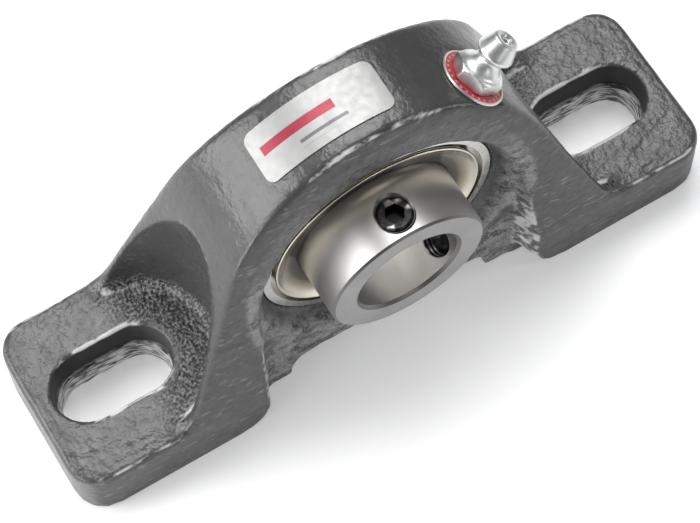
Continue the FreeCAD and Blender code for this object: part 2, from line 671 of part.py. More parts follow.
def nameplate():
    """Thin label with rounded corners wrapped on the dome, left of its top."""
    width = LABEL_HALF_WIDTH
    length = DOME_RADIUS * math.sin(math.radians(LABEL_HALF_ANGLE))
    tool = Part.makeBox(2 * length, 2 * width, DOME_RADIUS, Vector(-length, -width, 0))
    upright = [edge for edge in tool.Edges if edge.BoundBox.ZLength > 1]
    tool = tool.makeFillet(LABEL_CORNER_RADIUS, upright)
    tool = stand_radially(tool, DOME_RADIUS / 2, LABEL_MIDDLE, 0)
    skin = shaft_cylinder(DOME_RADIUS + LABEL_THICKNESS, -width, width)
    return skin.cut(shaft_cylinder(DOME_RADIUS, -width, width)).common(tool)


# ---------------------------------------------------------------- export
def build():
    parts = {
        "housing": housing(),
        "outer_ring": outer_ring(),
        "lock_pin": lock_pin(),
        "inner_ring": inner_ring(),
        "cage_front_half": cage_half(),
        "cage_rear_half": mirrored_along_shaft(cage_half()),
        "cage_rivets": Part.makeCompound([cage_rivet(index) for index in range(BALL_COUNT)]),
        "grease_fitting_body": fitting_body(),
        "grease_fitting_check_ball": check_ball(),
        "grease_fitting_spring": check_spring(),
        "grease_fitting_tag_ring": tag_ring(),
        "nameplate_label": nameplate(),
    }
    discs = {"seal_rubber": seal_rubber(), "seal_plate": seal_plate(), "flinger": flinger()}
    for name, shape in discs.items():
        parts["front_" + name] = shape
        parts["rear_" + name] = mirrored_along_shaft(shape)
    for name, angle in SCREW_ANGLES.items():
        parts[name] = set_screw(angle)
    for index in range(BALL_COUNT):
        parts["ball_" + str(index + 1)] = ball(index)
    return parts


def export(parts):
    os.makedirs("parts", exist_ok=True)
    for name, shape in parts.items():
        print(name, "solids", len(shape.Solids), "valid", shape.isValid(), round(shape.Volume, 3))
        shape.exportStep("parts/" + name + ".step")


export(build())
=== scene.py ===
import math
from itertools import product

import bmesh
import bpy
import numpy as np
from mathutils import Matrix, Vector


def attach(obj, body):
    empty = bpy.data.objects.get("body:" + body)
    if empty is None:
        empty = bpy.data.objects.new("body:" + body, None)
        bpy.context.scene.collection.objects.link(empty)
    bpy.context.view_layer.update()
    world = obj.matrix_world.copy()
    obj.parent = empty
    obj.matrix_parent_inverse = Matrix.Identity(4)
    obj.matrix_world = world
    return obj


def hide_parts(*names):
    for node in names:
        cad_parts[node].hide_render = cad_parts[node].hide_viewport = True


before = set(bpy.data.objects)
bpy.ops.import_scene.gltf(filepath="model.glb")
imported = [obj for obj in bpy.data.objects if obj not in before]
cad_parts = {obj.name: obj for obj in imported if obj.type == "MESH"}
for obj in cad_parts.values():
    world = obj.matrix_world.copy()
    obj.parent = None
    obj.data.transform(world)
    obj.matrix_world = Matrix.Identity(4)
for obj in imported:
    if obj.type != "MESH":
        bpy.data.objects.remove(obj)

# Two-bolt pillow block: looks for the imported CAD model. Shapes are in millimetres in the row
# frame (X along the base, Y from the collar to the rear, Z up from the base face), and become
# metres when a mesh is made. Shader positions are in metres, and noise scales are per metre.
MM = 0.001
SHAFT_HEIGHT = 33.34
SHAFT = np.array([0, 0, SHAFT_HEIGHT])
DOME_RADIUS = 31.75
SEAT_RADIUS = 23.54
HALF_LENGTH = 63.5
HALF_WIDTH = 17.0
CORNER_RADIUS = 5.8
SLOT_CENTRE = 48.6
SLOT_HALF = 4.8             # from the slot's middle to the centre of its round end
POCKET_CENTRE = 43.8
FITTING_TURN = math.radians(41.5)
FITTING_OFFSET = -3.5
SPOT_FACE = 31.3            # from the shaft to the flat under the fitting
LABEL_TURN = math.radians(-10.5)
INNER_RING_RADIUS = 14.6
BORE_EDGE = 9.8             # just outside the bore's radius
SCREW_OFFSET = -13.7
SCREW_TURNS = (0.0, math.radians(120.0))
SCREW_HOLE_RADIUS = 3.25
THREAD_PITCH = 0.907
THREAD_DEPTH = 0.25

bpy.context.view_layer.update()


# ---------------------------------------------------------------- camera, floor and lights
LENS = 128.03
SENSOR_WIDTH = 36.0
CLIP_START = 0.01           # metres
CAMERA_PLACE = (-86.256, -159.762, 409.309)
CAMERA_RIGHT = (0.85832, -0.51264, -0.02213)
CAMERA_DOWN = (-0.47605, -0.77948, -0.40717)
CAMERA_FORWARD = (0.19148, 0.36002, -0.91309)
# name, place, size and power in watts
SOFTBOXES = [
    ("softbox_top", (80, 230, 560), (420, 330), 2.7),
    ("softbox_left", (-430, 170, 280), (320, 420), 2.3),
    ("softbox_low_left", (-420, -110, 110), (170, 200), 0.65),
    ("softbox_right", (420, -200, 200), (70, 240), 0.25),
    ("softbox_front", (110, -560, 300), (300, 60), 0.35),
]
SOFTBOX_AIM = (0.0, 0.0, 20.0)
SKY_COLOUR = (0.95, 0.97, 1.0, 1.0)
SKY_STRENGTH = 0.22
FLOOR_HALF = 2.0            # metres
FLOOR_GLOW = 0.26           # keeps the floor nearly white


def link_in(made):
    bpy.context.scene.collection.objects.link(made)


def make_camera():
    data = bpy.data.cameras.new("camera")
    data.lens = LENS
    data.sensor_width = SENSOR_WIDTH
    data.clip_start = CLIP_START
    camera = bpy.data.objects.new("camera", data)
    link_in(camera)
    axes = (Vector(CAMERA_RIGHT), -Vector(CAMERA_DOWN), -Vector(CAMERA_FORWARD))
    turn = Matrix(axes).transposed().to_4x4()
    camera.matrix_world = Matrix.Translation(Vector(CAMERA_PLACE) * MM) @ turn
    bpy.context.scene.camera = camera


def make_softbox(name, place, size, power):
    data = bpy.data.lights.new(name, "AREA")
    data.shape = "RECTANGLE"
    data.size, data.size_y = size[0] * MM, size[1] * MM
    data.energy = power
    light = bpy.data.objects.new(name, data)
    link_in(light)
    light.location = Vector(place) * MM
    light.rotation_mode = "QUATERNION"
    light.rotation_quaternion = (Vector(place) - Vector(SOFTBOX_AIM)).to_track_quat("Z", "Y")


def make_floor():
    mesh = bpy.data.meshes.new("floor")
    corners = [(-1, -1), (1, -1), (1, 1), (-1, 1)]
    points = [(x * FLOOR_HALF, y * FLOOR_HALF, 0) for x, y in corners]
    mesh.from_pydata(points, [], [(0, 1, 2, 3)])
    floor = bpy.data.objects.new("floor", mesh)
    link_in(floor)
    material, tree, shader = new_material("pale_floor")
    grain = noise(tree, object_coordinates(tree), 40.0)
    colour = ramp(tree, grain, [(0.3, (0.90, 0.90, 0.91)), (0.7, (0.93, 0.93, 0.93))])
    tree.links.new(colour, shader.inputs["Base Color"])
    shader.inputs["Roughness"].default_value = 0.85
    shader.inputs["Specular IOR Level"].default_value = 0.2
    shader.inputs["Emission Color"].default_value = (1.0, 1.0, 1.0, 1.0)
    shader.inputs["Emission Strength"].default_value = FLOOR_GLOW
    mesh.materials.append(material)


def make_studio():
    for name, place, size, power in SOFTBOXES:
        make_softbox(name, place, size, power)
    world = bpy.data.worlds.new("studio")
    world.use_nodes = True
    background = world.node_tree.nodes["Background"]
    background.inputs["Color"].default_value = SKY_COLOUR
    background.inputs["Strength"].default_value = SKY_STRENGTH
    bpy.context.scene.world = world
    bpy.context.scene.view_settings.view_transform = "Standard"
    make_floor()


# ---------------------------------------------------------------- node helpers
def new_material(name):
    material = bpy.data.materials.new(name)
    material.use_nodes = True
    tree = material.node_tree
    tree.nodes.clear()
    output = tree.nodes.new("ShaderNodeOutputMaterial")
    shader = tree.nodes.new("ShaderNodeBsdfPrincipled")
    tree.links.new(shader.outputs["BSDF"], output.inputs["Surface"])
    return material, tree, shader


def socket(tree, value, target):
    """Link a socket, or set a plain number or colour, on an input."""
    if isinstance(value, bpy.types.NodeSocket):
        tree.links.new(value, target)
    else:
        target.default_value = value


def wire(tree, shader, colour, roughness, normal, metallic):
    for value, name in ((colour, "Base Color"), (roughness, "Roughness"), (normal, "Normal"),
                        (metallic, "Metallic")):
        socket(tree, value, shader.inputs[name])


def object_coordinates(tree):
    return tree.nodes.new("ShaderNodeTexCoord").outputs["Object"]


def mesh_attribute(tree, name, output="Fac"):
    node = tree.nodes.new("ShaderNodeAttribute")
    node.attribute_name = name
    return node.outputs[output]


def parts_of(tree, vector):
    node = tree.nodes.new("ShaderNodeSeparateXYZ")
    tree.links.new(vector, node.inputs[0])
    return node.outputs


def scaled(tree, vector, factors):
    node = tree.nodes.new("ShaderNodeVectorMath")
    node.operation = "MULTIPLY"
    tree.links.new(vector, node.inputs[0])
    node.inputs[1].default_value = factors
    return node.outputs[0]


def noise(tree, vector, scale, detail=2.0, distortion=0.0):
    node = tree.nodes.new("ShaderNodeTexNoise")
    tree.links.new(vector, node.inputs["Vector"])
    node.inputs["Scale"].default_value = scale
    node.inputs["Detail"].default_value = detail
    node.inputs["Distortion"].default_value = distortion
    return node.outputs["Fac"]


def ramp(tree, value, stops):
    """Colours, or greys given as one number, at positions from 0 to 1."""
    node = tree.nodes.new("ShaderNodeValToRGB")
    tree.links.new(value, node.inputs["Fac"])
    elements = node.color_ramp.elements
    while len(elements) < len(stops):
        elements.new(0.5)
    for element, (position, colour) in zip(elements, stops):
        red, green, blue = colour if isinstance(colour, tuple) else (colour,) * 3
        element.position = position
        element.color = (red, green, blue, 1.0)
    return node.outputs["Color"]


def maths(tree, operation, *values):
    node = tree.nodes.new("ShaderNodeMath")
    node.operation = operation
    for value, target in zip(values, node.inputs):
        socket(tree, value, target)
    return node.outputs[0]


def add(tree, first, second):
    return maths(tree, "ADD", first, second)


def subtract(tree, first, second):
    return maths(tree, "SUBTRACT", first, second)


def multiply(tree, first, second):
    return maths(tree, "MULTIPLY", first, second)


def hypotenuse(tree, first, second):
    squares = [maths(tree, "POWER", side, 2.0) for side in (first, second)]
    return maths(tree, "SQRT", add(tree, *squares))


def spread(tree, value, low, high, to_low, to_high):
    """Map the range from low to high onto another, and hold it there outside."""
    node = tree.nodes.new("ShaderNodeMapRange")
    for given, target in zip((value, low, high, to_low, to_high), node.inputs):
        socket(tree, given, target)
    return node.outputs["Result"]


def blend(tree, factor, first, second):
    """Mix two colours."""
    node = tree.nodes.new("ShaderNodeMix")
    node.data_type = "RGBA"
    socket(tree, factor, node.inputs["Factor"])
    for colour, target in ((first, node.inputs["A"]), (second, node.inputs["B"])):
        socket(tree, (*colour, 1.0) if isinstance(colour, tuple) else colour, target)
    return node.outputs["Result"]


def bump(tree, height, distance, strength=1.0, under=None):
    """Surface relief; distance is the height in millimetres of a full step."""
    node = tree.nodes.new("ShaderNodeBump")
    socket(tree, height, node.inputs["Height"])
    socket(tree, strength, node.inputs["Strength"])
    node.inputs["Distance"].default_value = distance * MM
    if under is not None:
        tree.links.new(under, node.inputs["Normal"])
    return node.outputs["Normal"]


def over_shaft(tree, place):
    """A place's x, its y and its height over the shaft's axis."""
    x, y, z = parts_of(tree, place)
    return x, y, subtract(tree, z, SHAFT_HEIGHT * MM)


# ---------------------------------------------------------------- materials
# painted highlight grey for the dashes on the front faces
DASH_HIGHLIGHT_GREY = (0.16, 0.16, 0.16)
# painted highlight grey for the broken highlights along the crest edges
CREST_HIGHLIGHT_GREY = (0.62, 0.62, 0.62)
BORE_COLOUR = (0.82, 0.81, 0.79)
BEVEL_COLOUR = (0.16, 0.15, 0.15)
BLACK_OXIDE = (0.022, 0.021, 0.022)
BARE_EDGE = (0.45, 0.44, 0.43)
FLINGER_SPAN = 20.0         # radius at which the flinger's painted shade has given way to its gold
TAG_TICKS = 26
TICK_HALF_WIDTH = 0.17      # as a share of the distance between ticks
TICK_BAND = (4.72, 5.16)
TICK_SHADE = 0.55
TAG_RIM = (5.42, 5.50)
TAG_DATUM = 0.2             # height of the tag from which its painted side is measured
TAG_SIDE = (-0.2, -0.1)
TAG_PALE = (0.62, 0.50, 0.50)
TAG_SILVER = (0.66, 0.62, 0.60)
# bars printed on the label: from and to along it, from and to across it, and the colour
LABEL_BARS = [
    (-10.2, 3.4, -0.2, 1.5, (0.30, 0.022, 0.045)),
    (-4.2, 4.6, -2.35, -1.75, (0.12, 0.12, 0.13)),
    (-4.2, 2.2, -3.35, -3.05, (0.30, 0.30, 0.31)),
]
BAR_BLUR = 0.03


def enamel_material():
    """Grey gloss enamel over rough cast iron. Mesh attributes say where each kind of skin is:
    grain (coarse skin), speckle (sand-pocked corners), sawn (bands in the slots: bare iron,
    painted lighter against the shade in the slots), dashed (brushed faces, carrying painted
    highlight dashes), crest (painted highlights on front top edges, slot rims, inner walls and
    lip) and dulled (extra roughness)."""
    material, tree, shader = new_material("casting_enamel")
    place = object_coordinates(tree)
    grain = mesh_attribute(tree, "grain")
    speckle = mesh_attribute(tree, "speckle")
    sawn = mesh_attribute(tree, "sawn")
    dashed = mesh_attribute(tree, "dashed")
    crest = mesh_attribute(tree, "crest")

    clouds = noise(tree, place, 90.0, 3.0)
    pits = noise(tree, place, 620.0)
    mottle = noise(tree, place, 1300.0)
    dots = noise(tree, place, 1900.0, 3.0, 0.2)
    saw_lines = noise(tree, scaled(tree, place, (0.16, 0.16, 1.0)), 2600.0)
    dashes = noise(tree, scaled(tree, place, (0.34, 0.8, 1.0)), 1100.0, 1.0)
    highlight_breaks = noise(tree, scaled(tree, place, (0.45, 0.8, 0.8)), 620.0, 3.0)

    smooth_skin = ramp(tree, clouds, [(0.25, 0.036), (0.75, 0.052)])
    pitted = ramp(tree, pits, [(0.30, 0.006), (0.41, 0.050), (0.66, 0.090)])
    mottled = ramp(tree, mottle, [(0.32, 0.030), (0.64, 0.092)])
    coarse_skin = blend(tree, 0.5, pitted, mottled)
    base = blend(tree, spread(tree, grain, 0.3, 0.9, 0.0, 0.9), smooth_skin, coarse_skin)
    dotted = ramp(tree, dots, [(0.44, 0.006), (0.66, 0.26)])
    base = blend(tree, multiply(tree, speckle, 0.85), base, dotted)
    # Slot bands: bare iron, and also painted much lighter to stand against the shade inside the
    # slots
    base = blend(tree, sawn, base, ramp(tree, saw_lines, [(0.42, 0.02), (0.58, 0.85)]))
    # Painted highlight: lighter dashes on the brushed front faces, standing in for streaks of
    # light
    dash = multiply(tree, spread(tree, dashes, 0.62, 0.70, 0.0, 0.85), dashed)
    base = blend(tree, dash, base, DASH_HIGHLIGHT_GREY)
    # Painted highlight: light grey on front top edges, slot rims, inner walls and lip, broken
    # into patches
    in_patches = multiply(tree, spread(tree, highlight_breaks, 0.42, 0.56, 0.0, 1.0), crest)
    crest_highlight = add(tree, in_patches, spread(tree, crest, 1.0, 1.5, 0.0, 0.8))
    base = blend(tree, spread(tree, crest_highlight, 0.0, 1.0, 0.0, 1.0), base, CREST_HIGHLIGHT_GREY)

    gloss = noise(tree, place, 240.0)
    rough = spread(tree, gloss, 0.3, 0.7, 0.20, 0.30)
    rough = add(tree, rough, multiply(tree, grain, 0.10))
    rough = add(tree, rough, mesh_attribute(tree, "dulled"))

    coarse = spread(tree, grain, 0.0, 1.0, 0.10, 1.0)
    normal = bump(tree, noise(tree, place, 300.0, 4.0, 0.8), 0.22, 0.5)
    for height, distance, strength in ((pits, 0.22, coarse), (mottle, 0.14, coarse),
                                       (dots, 0.35, speckle), (dashes, 0.10, dashed),
                                       (saw_lines, 0.14, sawn)):
        normal = bump(tree, height, distance, strength, normal)
    wire(tree, shader, base, rough, normal, 0.0)
    shader.inputs["Specular IOR Level"].default_value = 0.62
    return material


def metal_material(name, colour, roughness, streak=(1.0, 1.0, 1.0), streak_scale=900.0,
                   relief=0.01, stain=0.12):
    """Bare or plated metal: streaky roughness, slight stains and fine tool marks."""
    material, tree, shader = new_material(name)
    place = object_coordinates(tree)
    marks = noise(tree, scaled(tree, place, streak), streak_scale, 3.0)
    patches = noise(tree, place, 160.0, 3.0, 0.5)
    stained = tuple(part * (1 - stain) for part in colour)
    base = ramp(tree, patches, [(0.3, stained), (0.7, colour)])
    rough = spread(tree, marks, 0.25, 0.75, roughness * 0.75, roughness * 1.3)
    wire(tree, shader, base, rough, bump(tree, marks, relief), 1.0)
    return material


def thread_waves(tree, x, y, up):
    """Ridges of the threads inside the two tapped holes."""
    waves = []
    for turn in SCREW_TURNS:
        sine, cosine = math.sin(turn), math.cos(turn)
        along = add(tree, multiply(tree, x, sine), multiply(tree, up, cosine))
        across = subtract(tree, multiply(tree, x, cosine), multiply(tree, up, sine))
        gap = hypotenuse(tree, across, subtract(tree, y, SCREW_OFFSET * MM))
        in_hole = multiply(tree, maths(tree, "LESS_THAN", gap, SCREW_HOLE_RADIUS * MM),
                           maths(tree, "GREATER_THAN", along, 0.0))
        wave = maths(tree, "SINE", multiply(tree, along, 2 * math.pi / (THREAD_PITCH * MM)))
        waves.append(multiply(tree, wave, in_hole))
    return add(tree, *waves)


def collar_material():
    """Turned and ground inner ring: lathe lines round the shaft, dull end faces, a lighter bore
    and threaded holes."""
    material, tree, shader = new_material("collar_steel")
    place = object_coordinates(tree)
    x, y, up = over_shaft(tree, place)
    radius = hypotenuse(tree, x, up)
    normal = tree.nodes.new("ShaderNodeTexCoord").outputs["Normal"]
    facing = maths(tree, "ABSOLUTE", parts_of(tree, normal)[1])
    end_face = spread(tree, facing, 0.80, 0.95, 0.0, 1.0)
    cylinder = spread(tree, facing, 0.05, 0.25, 1.0, 0.0)
    in_bore = maths(tree, "LESS_THAN", radius, BORE_EDGE * MM)
    bevel = multiply(tree, subtract(tree, 1.0, end_face), subtract(tree, 1.0, cylinder))

    patches = noise(tree, place, 130.0, 3.0, 0.4)
    body = ramp(tree, patches, [(0.3, (0.55, 0.535, 0.515)), (0.7, (0.63, 0.615, 0.595))])
    face = ramp(tree, patches, [(0.3, (0.30, 0.30, 0.295)), (0.7, (0.36, 0.36, 0.355))])
    body = blend(tree, in_bore, body, BORE_COLOUR)
    colour = blend(tree, bevel, blend(tree, end_face, body, face), BEVEL_COLOUR)

    turned = tree.nodes.new("ShaderNodeCombineXYZ")
    tree.links.new(radius, turned.inputs[0])
    tree.links.new(y, turned.inputs[1])
    lathe_lines = noise(tree, turned.outputs[0], 6000.0)
    rough = spread(tree, lathe_lines, 0.3, 0.7, 0.38, 0.44)
    rough = add(tree, rough, multiply(tree, end_face, 0.15))
    rough = subtract(tree, rough, multiply(tree, in_bore, 0.10))
    lines = bump(tree, lathe_lines, 0.0025, subtract(tree, 1.0, in_bore))
    threads = bump(tree, thread_waves(tree, x, y, up), THREAD_DEPTH, 1.0, lines)
    wire(tree, shader, colour, rough, threads, 1.0)
    return material


def flinger_material():
    """Pressed steel, golden, with painted shade lying dark beside the inner ring, in the dish
    and the gap to the ring, and fading out to the gold.
    """
    material, tree, shader = new_material("pressed_steel")
    place = object_coordinates(tree)
    x, _, up = over_shaft(tree, place)
    stains = noise(tree, place, 220.0, 3.0, 0.5)
    out = spread(tree, hypotenuse(tree, x, up), INNER_RING_RADIUS * MM, FLINGER_SPAN * MM,
                 0.0, 1.0)
    out = add(tree, out, spread(tree, stains, 0.3, 0.7, -0.03, 0.03))
    # Painted shade: dark brown at the inner ring, where the dish and the gap fall into shade,
    # running out to gold
    colour = ramp(tree, out, [(0.05, (0.016, 0.012, 0.009)), (0.30, (0.09, 0.070, 0.050)),
                              (0.56, (0.40, 0.35, 0.27)), (0.74, (0.70, 0.66, 0.57))])
    rough = spread(tree, stains, 0.3, 0.7, 0.15, 0.25)
    wire(tree, shader, colour, rough, bump(tree, noise(tree, place, 500.0, 3.0), 0.008), 1.0)
    return material


def black_screw_material():
    """Black oxide with rubbed edges."""
    material, tree, shader = new_material("black_oxide_steel")
    place = object_coordinates(tree)
    uneven = spread(tree, noise(tree, place, 900.0, 3.0), 0.3, 0.7, -0.03, 0.03)
    pointed = tree.nodes.new("ShaderNodeNewGeometry").outputs["Pointiness"]
    edge = spread(tree, add(tree, pointed, uneven), 0.57, 0.66, 0.0, 1.0)
    colour = blend(tree, edge, BLACK_OXIDE, BARE_EDGE)
    rough = spread(tree, noise(tree, place, 1500.0), 0.3, 0.7, 0.25, 0.45)
    wire(tree, shader, colour, rough, bump(tree, noise(tree, place, 2500.0), 0.01), 0.9)
    return material


def rubber_material():
    material, tree, shader = new_material("nitrile_rubber")
    place = object_coordinates(tree)
    bloom = noise(tree, place, 300.0, 3.0)
    colour = ramp(tree, bloom, [(0.3, (0.012, 0.012, 0.013)), (0.7, (0.03, 0.03, 0.032))])
    rough = spread(tree, noise(tree, place, 700.0), 0.3, 0.7, 0.5, 0.75)
    wire(tree, shader, colour, rough, bump(tree, noise(tree, place, 3000.0), 0.02), 0.0)
    return material


def tag_material():
    """Red enamelled tag with a bare silvery rim and small pale ticks."""
    material, tree, shader = new_material("red_tag")
    radius, turn, height = parts_of(tree, mesh_attribute(tree, "tag_place", "Vector"))
    silver = maths(tree, "MAXIMUM", spread(tree, radius, *TAG_RIM, 0.0, 1.0),
                   spread(tree, height, *TAG_SIDE, 1.0, 0.0))
    step_share = maths(tree, "FRACT", multiply(tree, turn, TAG_TICKS / (2 * math.pi)))
    off_tick = maths(tree, "ABSOLUTE", subtract(tree, step_share, 0.5))
    tick = maths(tree, "LESS_THAN", off_tick, TICK_HALF_WIDTH)
    band = multiply(tree, maths(tree, "GREATER_THAN", radius, TICK_BAND[0]),
                    maths(tree, "LESS_THAN", radius, TICK_BAND[1]))
    mark = multiply(tree, multiply(tree, tick, band), TICK_SHADE)
    wear = noise(tree, object_coordinates(tree), 700.0, 3.0)
    red = ramp(tree, wear, [(0.3, (0.36, 0.022, 0.034)), (0.7, (0.48, 0.045, 0.056))])
    colour = blend(tree, silver, blend(tree, mark, red, TAG_PALE), TAG_SILVER)
    rough = spread(tree, wear, 0.3, 0.7, 0.28, 0.42)
    wire(tree, shader, colour, rough, bump(tree, wear, 0.03), multiply(tree, silver, 0.85))
    return material


def label_material():
    """Silver-white satin film with a printed maroon bar and two thin grey rules."""
    material, tree, shader = new_material("label_film")
    place = object_coordinates(tree)
    x, y, up = over_shaft(tree, place)
    turn = subtract(tree, maths(tree, "ARCTAN2", x, up), LABEL_TURN)
    along = multiply(tree, turn, DOME_RADIUS)
    across = multiply(tree, y, 1.0 / MM)

    def beyond(value, low, high):
        half = (high - low) / 2
        off_middle = maths(tree, "ABSOLUTE", subtract(tree, value, low + half))
        return subtract(tree, off_middle, half)

    film = noise(tree, place, 350.0, 3.0)
    colour = ramp(tree, film, [(0.3, (0.33, 0.33, 0.32)), (0.7, (0.39, 0.39, 0.38))])
    for start, end, low, high, ink in LABEL_BARS:
        outside = maths(tree, "MAXIMUM", beyond(along, start, end), beyond(across, low, high))
        colour = blend(tree, spread(tree, outside, -BAR_BLUR, BAR_BLUR, 1.0, 0.0), colour, ink)
    rough = spread(tree, noise(tree, place, 900.0), 0.3, 0.7, 0.30, 0.42)
    wire(tree, shader, colour, rough, bump(tree, noise(tree, place, 500.0), 0.02), 0.25)
    return material


# ---------------------------------------------------------------- mesh helpers
def object_from(name, points, faces, material, smooth_below):
    """Make an object from millimetre points. Edges sharper than smooth_below degrees stay
    sharp."""
    mesh = bpy.data.meshes.new(name)
    mesh.from_pydata((np.asarray(points) * MM).tolist(), [], faces)
    mesh.materials.append(material)
    mesh.polygons.foreach_set("use_smooth", [True] * len(mesh.polygons))
    mesh.set_sharp_from_angle(angle=math.radians(smooth_below))
    made = bpy.data.objects.new(name, mesh)
    link_in(made)
    return made


def rounded(profile, passes=2):
    """Cut the corners of a closed profile, so that it reads as a smooth curve."""
    points = np.asarray(profile, float)
    for _ in range(passes):
        following = np.roll(points, -1, axis=0)
        early, late = points * 0.8 + following * 0.2, points * 0.2 + following * 0.8
        points = np.stack([early, late], 1).reshape(-1, 2)
    return points


def around(segments):
    """The turn of each segment of a ring."""
    return [2 * math.pi * index / segments for index in range(segments)]


def ring_faces(segments, count):
    """Quads of a ring that is made of one closed profile of count points for each segment."""
    faces = []
    for i, j in product(range(segments), range(count)):
        k, n = (i + 1) % segments, (j + 1) % count
        faces.append((i * count + j, i * count + n, k * count + n, k * count + j))
    return faces


def outward_normals(mesh):
    work = bmesh.new()
    work.from_mesh(mesh)
    bmesh.ops.recalc_face_normals(work, faces=work.faces)
    work.to_mesh(mesh)
    work.free()


def on_fitting_axis(points):
    """Turn points about +Z at the origin into their place on the grease fitting's axis."""
    points = np.asarray(points, float)
    cosine, sine = math.cos(FITTING_TURN), math.sin(FITTING_TURN)
    out = np.empty_like(points)
    height = points[:, 2] + SPOT_FACE
    out[:, 0] = points[:, 0] * cosine + height * sine
    out[:, 1] = points[:, 1] + FITTING_OFFSET
    out[:, 2] = -points[:, 0] * sine + height * cosine + SHAFT_HEIGHT
    return out


class LatticeNoise:
    """Smooth noise from -1 to 1 on arrays of points."""

    def __init__(self, seed, size=64):
        self.size = size
        self.values = np.random.default_rng(seed).random((size, size, size)) * 2 - 1

    def __call__(self, points, wavelength):
        place = points / wavelength
        cell = np.floor(place).astype(int)
        part = place - cell
        part = part * part * (3 - 2 * part)
        total = np.zeros(len(points))
        for corner in product((0, 1), repeat=3):
            weight = np.ones(len(points))
            for axis in range(3):
                weight *= part[:, axis] if corner[axis] else 1 - part[:, axis]
            index = (cell + corner) % self.size
            total += weight * self.values[index[:, 0], index[:, 1], index[:, 2]]
        return total


def rise(values, span):
    """Smooth step from 0 at the start of a span to 1 at its end."""
    low, high = span
    share = np.clip((values - low) / (high - low), 0, 1)
    return share * share * (3 - 2 * share)


def fall(values, span):
    return 1 - rise(values, span)


def dip(distance, width):
    """Rounded groove or knob: 1 in the middle, 0 well outside the width."""
    return np.exp(-(distance / width) ** 2)


# ---------------------------------------------------------------- casting
VOXEL = 0.5
SMOOTHING_PASSES = 5
SMOOTHING = 0.5
SEAT_REACH = 24.2           # from the bearing's centre: the seat lies within it
SEAT_HALF_WIDTH = 8.4
SEAT_KEPT_CLEAR = (8.3, SEAT_RADIUS + 0.04)     # half width, and radius that nothing enters
PIN_SLOT_REACH = 26.5
PIN_SLOT_BOTTOM = 22.0      # over the shaft
PIN_SLOT_SIDE = 2.4
PIN_SLOT_WALL = (1.0, 1.6)  # wall points found in this range are put at its end

# Spans over which the zones of the skin begin and are full: millimetres, or for those named
# LEVEL or FACING the share of the surface's unit normal
FOOT_LEVEL = (0.6, 0.9)
FOOT_BOTTOM = (11.0, 11.8)
FOOT_TOP = (17.0, 19.0)
FOOT_SIDE = (28.0, 30.0)
POCKET_EDGE = (15.2, 15.8)
POCKET_WALL_BOTTOM = (15.5, 18.0)
POCKET_WALL_LEVEL = (0.4, 0.8)
SLOT_EDGE = (6.8, 7.4)
SLOT_LEVEL = (0.3, 0.6)
SLOT_BAND_TOP = (6.0, 6.6)
FRONT_FACING = (0.7, 0.9)
DOME_SKIN = (30.0, 31.0)
LIP_OUTSIDE = (27.0, 28.5)
LIP_INSIDE = (22.8, 24.0)
LIP_FACE = (7.5, 8.5)
LIP_TOP = (40.0, 48.0)
WEB_SIDE = (24.0, 26.0)
WEB_TOP = (14.0, 17.0)
WEB_FACE = (9.0, 10.0)
SEAT_EDGE = (24.2, 24.8)
SEAT_FACE = (8.3, 9.0)
UNDERSIDE = (0.3, 0.8)
LABEL_BED_LENGTH = (12.0, 13.5)
LABEL_BED_WIDTH = (4.8, 5.8)
FITTING_BED = (6.3, 7.2)
FLOOR_SIDE = (40.0, 47.0)
FLOOR_SLOT_EDGE = (6.6, 8.0)
FLOOR_BOTTOM = (11.6, 12.2)
FLOOR_TOP = (13.8, 16.2)
FLOOR_EDGE = (15.2, 16.2)
CREST_FACING = (0.945, 0.98)
CREST_RADIUS = (22.0, 24.5)
SLOT_RIM_FACING = (0.88, 0.96)
SLOT_RIM_EDGE = (7.2, 8.0)
SLOT_RIM_BOTTOM = (10.5, 11.5)
SLOT_RIM_SIDE = (52.0, 55.0)
INNER_WALL_FACING = (0.35, 0.6)
INNER_WALL_START = (21.0, 23.0)
INNER_WALL_END = (27.5, 29.0)
INNER_WALL_FRONT = (11.5, 12.5)
INNER_WALL_TOP = (22.0, 27.0)
REAR_HALF = (-2.0, 2.0)

GRAIN_TILT = np.array([[0.80, 0.36, -0.48], [-0.36, 0.93, 0.10], [0.48, 0.09, 0.87]])
STREAK_SCALE = np.array([0.25, 1.0, 1.0])
WAVE_SHIFT = 40
SLOT_BAND_HEIGHT = 0.72
GROOVE_FROM_RIM = 1.75      # scribed line round the top of each foot
GROOVE_WIDTH = 0.35
GROOVE_DEPTH = 0.09
SCRATCH_START = np.array([50.8, -11.6])
SCRATCH_END = np.array([60.2, -8.3])
SCRATCH_WIDTH = 0.4
SCRATCH_DEPTH = 0.14
KNOB = np.array([-19.6, -12.0, 7.6])
KNOB_WIDTH = 1.5
KNOB_HEIGHT = 0.55
LABEL_BED_DEPTH = 0.05
CREST_AXIS = (0.59, 0.807)  # unit facing, forward and up, of the front top edges that get a painted highlight, as from the front softbox


def remeshed(node, voxel):
    """Even quads over a CAD node's surface, as a new mesh."""
    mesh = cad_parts[node].data.copy()
    work = bmesh.new()
    work.from_mesh(mesh)
    bmesh.ops.remove_doubles(work, verts=work.verts, dist=1e-6)
    work.to_mesh(mesh)
    work.free()
    temporary = bpy.data.objects.new("temporary", mesh)
    link_in(temporary)
    modifier = temporary.modifiers.new("even", "REMESH")
    modifier.mode = "VOXEL"
    modifier.voxel_size = voxel * MM
    evaluated = temporary.evaluated_get(bpy.context.evaluated_depsgraph_get())
    made = bpy.data.meshes.new_from_object(evaluated)
    bpy.data.objects.remove(temporary)
    return made


def coordinates(mesh):
    flat = np.zeros(len(mesh.vertices) * 3)
    mesh.vertices.foreach_get("co", flat)
    return flat.reshape(-1, 3) / MM


def set_coordinates(mesh, points):
    mesh.vertices.foreach_set("co", (points * MM).ravel())


